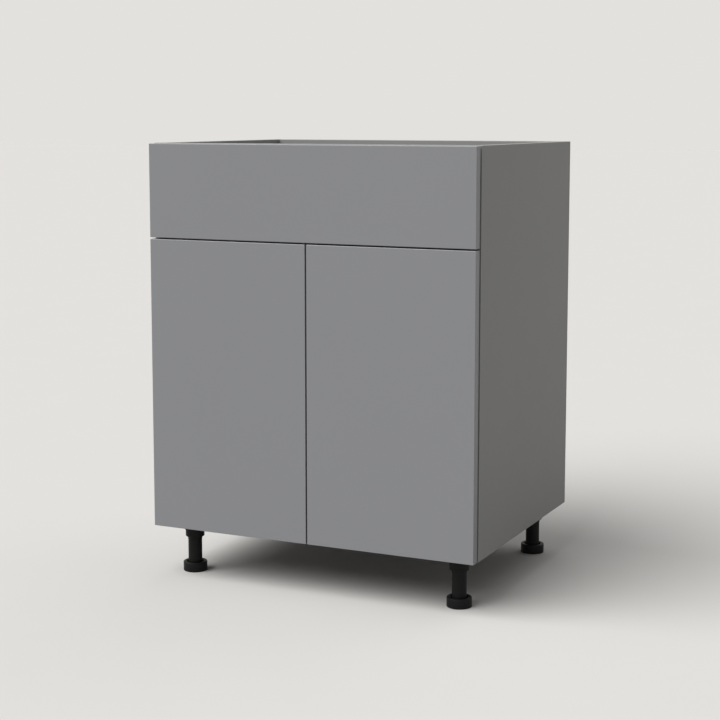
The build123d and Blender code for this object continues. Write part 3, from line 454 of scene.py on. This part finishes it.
def turned_faces(rings, columns):
    """Quads between neighbouring rings, and triangles from the end rings to a pole; rings run upwards."""
    ring, column = np.meshgrid(np.arange(rings - 1), np.arange(columns), indexing="ij")
    onward = (column + 1) % columns
    low = 1 + ring * columns
    high = low + columns
    quads = np.stack([low + column, low + onward, high + onward, high + column], axis=-1).reshape(-1, 4)
    around = np.arange(columns)
    after = (around + 1) % columns
    top = 1 + (rings - 1) * columns
    foot_fan = np.stack([np.zeros_like(around), 1 + after, 1 + around], axis=1)
    head_fan = np.stack([np.full_like(around, top + columns), top + around, top + after], axis=1)
    return quads, np.concatenate([foot_fan, head_fan])


print("a skin of 3 rings and 8 columns has", sum(len(part) for part in turned_faces(3, 8)), "faces")

# %% Pieces made from points
SHARP_ANGLE = np.radians(38)


def make_piece(name, copies, rings, columns, finish, body):
    """One mesh of several equal skins; copies holds the points of each in metres."""
    quads, fans = turned_faces(rings, columns)
    start = np.arange(len(copies))[:, None, None] * copies.shape[1]
    faces = (quads + start).reshape(-1, 4).tolist() + (fans + start).reshape(-1, 3).tolist()
    mesh = bpy.data.meshes.new(name)
    mesh.from_pydata(copies.reshape(-1, 3).tolist(), [], faces)
    mesh.shade_smooth()
    mesh.set_sharp_from_angle(angle=SHARP_ANGLE)
    mesh.materials.append(finish)
    piece = bpy.data.objects.new(name, mesh)
    bpy.context.collection.objects.link(piece)
    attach(piece, body)
    return piece


print("edges sharper than", round(np.degrees(SHARP_ANGLE)), "degrees stay crisp")

# %% [markdown]
# ## Feet with a threaded stem
# Each leg is levelled by turning its foot, which has a coarse moulded thread running up
# into the tube. The thread shows when a foot is wound out. The profile is the foot's own:
# flat base, upright rim, dished top and stem. On the stem the radius drops and rises with
# height, and the drop is led round by one pitch per turn, which makes the helix.

# %% Foot profile and thread
FOOT_RIM_H = 19.0 * MM
FOOT_SEAT = 8.0 * MM
DISH_R = 17.0 * MM
STEM_R = 10.0 * MM
RIM_ROUND = 2.0 * MM
BASE_EASE = 1.2 * MM
CORNER_STEPS = 7
THREAD_PITCH = 4.0 * MM
THREAD_DEEP = 0.9 * MM
THREAD_SLOPE = 1.6
THREAD_CREST = 0.3
STEM_RINGS = 130
FOOT_COLUMNS = 64


def foot_profile(foot_r, top):
    """Radius and height up the foot: base, eased edge, rim with two rounded corners, dish, stem."""
    turn = np.linspace(0, np.pi / 2, CORNER_STEPS)
    ease_r = foot_r - BASE_EASE * (1 - np.sin(turn))
    ease_z = BASE_EASE * (1 - np.cos(turn))
    outer_r = foot_r - RIM_ROUND * (1 - np.cos(turn))
    outer_z = FOOT_RIM_H - RIM_ROUND * (1 - np.sin(turn))
    inner_r = DISH_R + RIM_ROUND * (1 - np.sin(turn))
    inner_z = FOOT_RIM_H - RIM_ROUND * (1 - np.cos(turn))
    floor_r = np.array([DISH_R, STEM_R])
    stem_z = np.linspace(FOOT_SEAT, top, STEM_RINGS)
    radius = np.concatenate([[foot_r / 2], ease_r, outer_r, inner_r, floor_r, np.full(STEM_RINGS, STEM_R)])
    height = np.concatenate([[0], ease_z, outer_z, inner_z, np.full(2, FOOT_SEAT), stem_z])
    return radius, height


def threaded_foot(low, high):
    """Foot turned from its profile, with a thread cut into the radius of the stem.

    The groove is a triangle wave of height over pitch less turns, made steeper and cut
    off flat at the crest and the root. It fades in and out over one pitch at the ends.
    """
    middle = (low + high) / 2
    radius, height = foot_profile((high[0] - low[0]) / 2, high[2])
    angle = np.linspace(0, 2 * np.pi, FOOT_COLUMNS, endpoint=False)[None, :]
    phase = height[:, None] / THREAD_PITCH - angle / (2 * np.pi)
    wave = np.abs((phase % 1) * 2 - 1)
    groove = THREAD_DEEP * np.clip(THREAD_SLOPE * wave - THREAD_CREST, 0, 1)
    lead_in = np.clip(np.minimum(height - FOOT_SEAT, high[2] - height) / THREAD_PITCH, 0, 1)
    lead_in[:-STEM_RINGS] = 0
    skin = turned_points(radius[:, None] - groove * lead_in[:, None], height[:, None], angle, (0, high[2]))
    return skin + np.array([middle[0], middle[1], 0]), len(radius), angle.size


feet = [name for name in nodes if name.startswith("foot_")]
for node in feet:
    points, rings, columns = threaded_foot(*(np.array(corner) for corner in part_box(node)))
    foot = make_piece(node + "_threaded", points[None], rings, columns, BLACK_PLASTIC, node)
    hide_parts(node)
print("threaded feet:", len(feet))

# %% [markdown]
# ## Screws with a cross recess
# Pan-head screws hold the hinges, runners, drawer front, latches and legs. A cross recess
# has straight walls, and a plain polar grid would make them ragged. So the columns are not
# spaced evenly: on every ring one column follows the wall of the slot exactly, at the angle
# whose sine is half the slot's width over the ring's radius. The frame has no list of
# screws, but their places can be measured: seen along its own direction each screw is a
# small round island of points.

# %% Screw skin
HEAD_R = 3.5 * MM
HEAD_H = 1.6 * MM
HEAD_RINGS = np.array([1.0, 0.93, 0.82, 0.70, 0.66, 0.62, 0.45, 0.30, 0.16, 0.07])
DOME_FALL = 0.6
DOME_POWER = 3
SHANK_R = 1.8 * MM
SHANK_RINGS = np.array([0.25, 1, 1, 1])
SLOT_HALF = 0.55 * MM
SLOT_REACH = 2.3 * MM
SLOT_FADE = 0.1 * SLOT_REACH
SLOT_DEEP = 1.0 * MM
WIDEST_WALL = 0.98
INSIDE_SLOT = np.array([0, 0.5, 1.0])
OUTSIDE_SLOT = np.array([0.1, 0.5, 1.0])
SAMPLE_LENGTH = 14 * MM


def slot_columns(radius):
    """Angles round each ring for a four-fold slot, and 1 for the columns inside it.

    An eighth of a turn is split at the slot's wall, then mirrored and repeated.
    """
    wall = np.arcsin(np.minimum(SLOT_HALF / radius, np.sin(np.pi / 4) * WIDEST_WALL))[:, None]
    eighth = np.concatenate([wall * INSIDE_SLOT, wall + (np.pi / 4 - wall) * OUTSIDE_SLOT], axis=1)
    quarter = np.concatenate([eighth, np.pi / 2 - eighth[:, -2:0:-1]], axis=1)
    inside = np.concatenate([np.ones_like(INSIDE_SLOT), np.zeros_like(OUTSIDE_SLOT)])
    quarter_inside = np.concatenate([inside, inside[-2:0:-1]])
    angle = np.concatenate([quarter + turn for turn in np.arange(4) * np.pi / 2], axis=1)
    return angle, np.tile(quarter_inside, 4)[None, :]


def pan_screw(length):
    """Screw with its head's seat at height 0: pointed shank, flat seat, rim and domed head.

    The dome falls with the third power of the radius, and a cross of slots is sunk in it.
    """
    dome = HEAD_RINGS * HEAD_R
    shank = SHANK_RINGS * SHANK_R
    radius = np.concatenate([shank, [HEAD_R], dome])
    tip = -length + HEAD_H
    shank_z = np.array([tip, tip + 2 * SHANK_R, tip / 2, 0])
    dome_z = HEAD_H * (1 - DOME_FALL * (dome / HEAD_R) ** DOME_POWER)
    height = np.concatenate([shank_z, [0], dome_z])
    angle, inside = slot_columns(radius)
    taper = np.clip((SLOT_REACH - radius) / SLOT_FADE, 0, 1)
    taper[: len(shank) + 1] = 0
    sunk = height[:, None] - SLOT_DEEP * taper[:, None] * inside
    skin = turned_points(radius[:, None], sunk, angle, (tip, HEAD_H - SLOT_DEEP))
    return skin, len(radius), angle.shape[1]


skin, rings, columns = pan_screw(SAMPLE_LENGTH)
print("one screw has", len(skin), "points in", rings, "rings of", columns)

# %% [markdown]
# To find the screws of a node, its points are sorted along each axis and cut where they
# leave a wide gap. Points that fall in the same stretch on all three axes are one screw.
# The head is the end where the points lie far from the middle line.

# %% Finding the solids of a node
SIDE_TO_SIDE = 100 * MM
NEXT_SCREW = 5 * MM


def islands(node, gaps):
    """Separate solids of a node as arrays of points.

    The sorted points are cut where they leave more than the gap of each axis.
    """
    mesh = nodes[node].data
    points = np.empty(len(mesh.vertices) * 3, dtype=np.float32)
    mesh.vertices.foreach_get("co", points)
    points = points.reshape(-1, 3).astype(float)
    order = np.argsort(points, axis=0)
    steps = np.diff(np.take_along_axis(points, order, axis=0), axis=0) > np.array(gaps)
    stretch = np.zeros(points.shape, dtype=int)
    np.put_along_axis(stretch, order[1:], np.cumsum(steps, axis=0), axis=0)
    _, island = np.unique(stretch, axis=0, return_inverse=True)
    island = island.ravel()
    return [points[island == number] for number in range(island.max() + 1)]


def screw_place(points, axis):
    """Head's seat, way from tip to head, and full length of one screw.

    The head's end is the one with the points furthest from the middle line.
    """
    low, high = points.min(axis=0), points.max(axis=0)
    middle = (low + high) / 2
    off = np.delete(points - middle, axis, axis=1)
    rim = points[np.hypot(*off.T) > (HEAD_R + SHANK_R) / 2]
    way = np.zeros(3)
    way[axis] = np.sign(rim[:, axis].mean() - middle[axis])
    length = high[axis] - low[axis]
    seat = middle + way * (length / 2 - HEAD_H)
    return seat, way, length


print("hinge plates found:", len(islands("hinge_plates", np.full(3, SIDE_TO_SIDE))))

# %% Placing the screws
GOLDEN_TURN = np.pi * (3 - np.sqrt(5))
SCREWS = {
    "runner_rail_screws": (0, "carcass"),
    "runner_slide_screws": (0, "drawer"),
    "hinge_plate_screws": (0, "carcass"),
    "hinge_arm_screws": (0, "carcass"),
    "hinge_cup_screws_left": (1, "door_left"),
    "hinge_cup_screws_right": (1, "door_right"),
    "drawer_front_screws": (1, "drawer"),
    "latch_screws": (2, "carcass"),
    "leg_screws": (2, "carcass"),
}


def place_screws(node, axis, body):
    """All screws of one node, whose axis is 0 for X, 1 for Y or 2 for Z.

    Each skin is turned on its own axis by a further golden angle, then stood along its way.
    """
    gaps = np.full(3, NEXT_SCREW)
    gaps[axis] = SIDE_TO_SIDE
    places = [screw_place(points, axis) for points in islands(node, gaps)]
    skin, rings, columns = pan_screw(places[0][2])
    across = np.roll(np.eye(3), 1, axis=0)[axis]
    copies = []
    for number, (seat, way, _) in enumerate(places):
        turn = number * GOLDEN_TURN
        first = np.cos(turn) * across + np.sin(turn) * np.cross(way, across)
        stand = np.stack([first, np.cross(way, first), way])
        copies.append(skin @ stand + seat)
    piece = make_piece(node + "_crossed", np.array(copies), rings, columns, SCREW_ZINC, body)
    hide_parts(node)
    return len(places)


counts = {node: place_screws(node, *facts) for node, facts in SCREWS.items()}
print("screws:", counts)

# %% [markdown]
# ## Ball cages of the runners
# Between the channels of a runner, steel balls roll in pressed cages. A cage is a narrow
# strip that swells round each ball. Its skin is a flat oval section carried along the
# runner: the half width is a base width plus a bell-shaped swelling at each ball. The
# balls are as thick as the gap between the channels, which the solid strip fills.

# %% Cages and balls
BALL_PITCH = 15.0 * MM
BALL_RINGS = 12
BALL_COLUMNS = 20
CAGE_WAIST = 1.1 * MM
CAGE_HALF_T = 0.45 * MM
CAGE_SWELL = 2.2 * MM
CAGE_RINGS = 240
OVAL_COLUMNS = 20
CAGE_GAPS = (NEXT_SCREW, 2 * SIDE_TO_SIDE, 2 * MM)


def cage_skin(low, high, balls):
    """Strip along Y: an oval section whose half width swells at each ball.

    The swelling is a bell curve of the distance to the ball. The ends close on the middle line.
    """
    middle = (low + high) / 2
    along = np.linspace(low[1], high[1], CAGE_RINGS)[:, None]
    around = np.linspace(0, 2 * np.pi, OVAL_COLUMNS, endpoint=False)[None, :]
    swell = np.exp(-(((along - balls[None, :]) / CAGE_SWELL) ** 2)).sum(axis=1, keepdims=True)
    half = CAGE_WAIST + ((high[0] - low[0]) / 2 - CAGE_WAIST) * np.clip(swell, 0, 1)
    x = middle[0] - half * np.cos(around)
    z = middle[2] + CAGE_HALF_T * np.sin(around)
    skin = np.stack(np.broadcast_arrays(x, along, z), axis=-1).reshape(-1, 3)
    ends = np.array([[middle[0], low[1], middle[2]], [middle[0], high[1], middle[2]]])
    return np.concatenate([ends[:1], skin, ends[1:]])


def ball_skin():
    """Unit ball: radius is the cosine and height the sine of the latitude."""
    latitude = np.linspace(-np.pi / 2, np.pi / 2, BALL_RINGS + 2)[1:-1, None]
    angle = np.linspace(0, 2 * np.pi, BALL_COLUMNS, endpoint=False)[None, :]
    return turned_points(np.cos(latitude), np.sin(latitude), angle, (-1, 1))


cages, balls = [], []
unit_ball = ball_skin()
for strip in islands("runner_ball_cages", CAGE_GAPS):
    low, high = strip.min(axis=0), strip.max(axis=0)
    rows = np.arange(low[1] + BALL_PITCH / 2, high[1], BALL_PITCH)
    cages.append(cage_skin(low, high, rows))
    middle = (low + high) / 2
    centres = np.stack([np.full(rows.size, middle[0]), rows, np.full(rows.size, middle[2])], axis=1)
    balls.append(unit_ball[None] * (high[2] - low[2]) / 2 + centres[:, None])
cage_piece = make_piece("runner_cages", np.array(cages), CAGE_RINGS, OVAL_COLUMNS, ZINC, "runner_middles")
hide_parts("runner_ball_cages")
make_piece("runner_balls", np.concatenate(balls), BALL_RINGS, BALL_COLUMNS, NICKEL, "runner_middles")
print("cages:", len(cages), "balls:", sum(len(row) for row in balls))

# %% [markdown]
# ## Floor, light and camera
# The cabinet stands on a plain pale floor. Soft studio light is made with two suns of a
# wide angle: a sun lights near and far alike, so the floor stays one tone up to the
# horizon. The key comes from the front left, high up, so the fronts are lit and the right
# side falls into soft shade; a weak sun from behind picks out the upper edges. So pale a
# floor would also throw much light up at the cabinet and flatten the shade, so it is pale
# for the camera and for mirrors, and darker for the light that bounces off it.

# %% Floor
FLOOR_REACH = 40.0
FLOOR_COLOUR = seen(206, 204, 201)
FLOOR_BOUNCE = 0.43
FLOOR_ROUGHNESS = 0.8
FLOOR_DRIFT = 0.02


def plain_floor(reach):
    """Flat sheet: the two parameters run along x and y, both from -reach to reach; z is 0."""
    along = np.linspace(-reach, reach, 2)
    x, y = np.meshgrid(along, along)
    points = np.stack([x.ravel(), y.ravel(), np.zeros(x.size)], axis=1)
    mesh = bpy.data.meshes.new("floor")
    mesh.from_pydata(points.tolist(), [], [(0, 1, 3, 2)])
    sheet = bpy.data.objects.new("floor", mesh)
    bpy.context.collection.objects.link(sheet)
    return sheet


def shown_rays(tree):
    """1 for rays from the camera or off a mirror, 0 for light on its way."""
    rays = add(tree, "ShaderNodeLightPath")
    return maths(tree, "MAXIMUM", rays.outputs["Is Camera Ray"], rays.outputs["Is Glossy Ray"])


def floor_finish():
    """Faintly mottled pale floor: its full colour where it is seen, a share of it for bounced light."""
    finish, tree, shader, position = new_finish("pale_floor", FLOOR_ROUGHNESS, specular=0.0)
    mottle = place_group(tree, MATT_FOIL, position, Drift=FLOOR_DRIFT)
    bright = maths(tree, "MULTIPLY_ADD", shown_rays(tree), 1 - FLOOR_BOUNCE, FLOOR_BOUNCE)
    tint(tree, FLOOR_COLOUR, maths(tree, "MULTIPLY", mottle.outputs["Tone"], bright), shader)
    return finish


floor = plain_floor(FLOOR_REACH)
floor.data.materials.append(floor_finish())
print("floor of", 2 * FLOOR_REACH, "m with finish", floor.data.materials[0].name)

# %% Light
BACK_COLOUR = seen(227, 225, 222)
WORLD_STRENGTH = 0.27


def soft_sun(name, turn, height, strength, spread):
    """Sun seen from the cabinet at a turn from the front, plus to the right, and a height in degrees."""
    data = bpy.data.lights.new(name, "SUN")
    data.energy = strength
    data.angle = np.radians(spread)
    light = bpy.data.objects.new(name, data)
    turn, height = np.radians(turn), np.radians(height)
    way = Vector((np.sin(turn) * np.cos(height), -np.cos(turn) * np.cos(height), np.sin(height)))
    light.rotation_euler = way.to_track_quat("Z", "Y").to_euler()
    bpy.context.collection.objects.link(light)


def soft_world(strength, shown_colour):
    """Even white light all round; the camera and mirrors see the pale background instead."""
    world = bpy.data.worlds.new("studio")
    world.use_nodes = True
    tree = world.node_tree
    plain = tree.nodes["Background"]
    plain.inputs["Color"].default_value = (1, 1, 1, 1)
    plain.inputs["Strength"].default_value = strength
    shown = add(tree, "ShaderNodeBackground")
    shown.inputs["Color"].default_value = shown_colour
    mix = add(tree, "ShaderNodeMixShader")
    tree.links.new(shown_rays(tree), mix.inputs[0])
    tree.links.new(plain.outputs[0], mix.inputs[1])
    tree.links.new(shown.outputs[0], mix.inputs[2])
    tree.links.new(mix.outputs[0], tree.nodes["World Output"].inputs["Surface"])
    bpy.context.scene.world = world


soft_sun("key_sun", turn=-38, height=50, strength=3.5, spread=55)
soft_sun("edge_sun", turn=160, height=62, strength=0.45, spread=50)
soft_world(WORLD_STRENGTH, BACK_COLOUR)
bpy.context.scene.view_settings.view_transform = "Standard"

# %% [markdown]
# The camera stands to the right of the front at about worktop height. A long lens keeps
# the lines calm, and a small shift of the picture does part of the work of looking down,
# so the uprights stay nearly upright.

# %% Camera
CAMERA_AT = (1.3592, -2.9161, 0.9165)
CAMERA_TURN = np.radians(25.185)
CAMERA_TILT = np.radians(6.931)
LENS_MM = 79.75
SENSOR_MM = 36
PICTURE_SHIFT = -0.07
camera_data = bpy.data.cameras.new("camera")
camera_data.lens = LENS_MM
camera_data.sensor_width = SENSOR_MM
camera_data.shift_y = PICTURE_SHIFT
camera = bpy.data.objects.new("camera", camera_data)
camera.location = CAMERA_AT
camera.rotation_euler = (np.pi / 2 - CAMERA_TILT, 0, CAMERA_TURN)
bpy.context.collection.objects.link(camera)
bpy.context.scene.camera = camera
print("camera at", CAMERA_AT, "lens", LENS_MM)
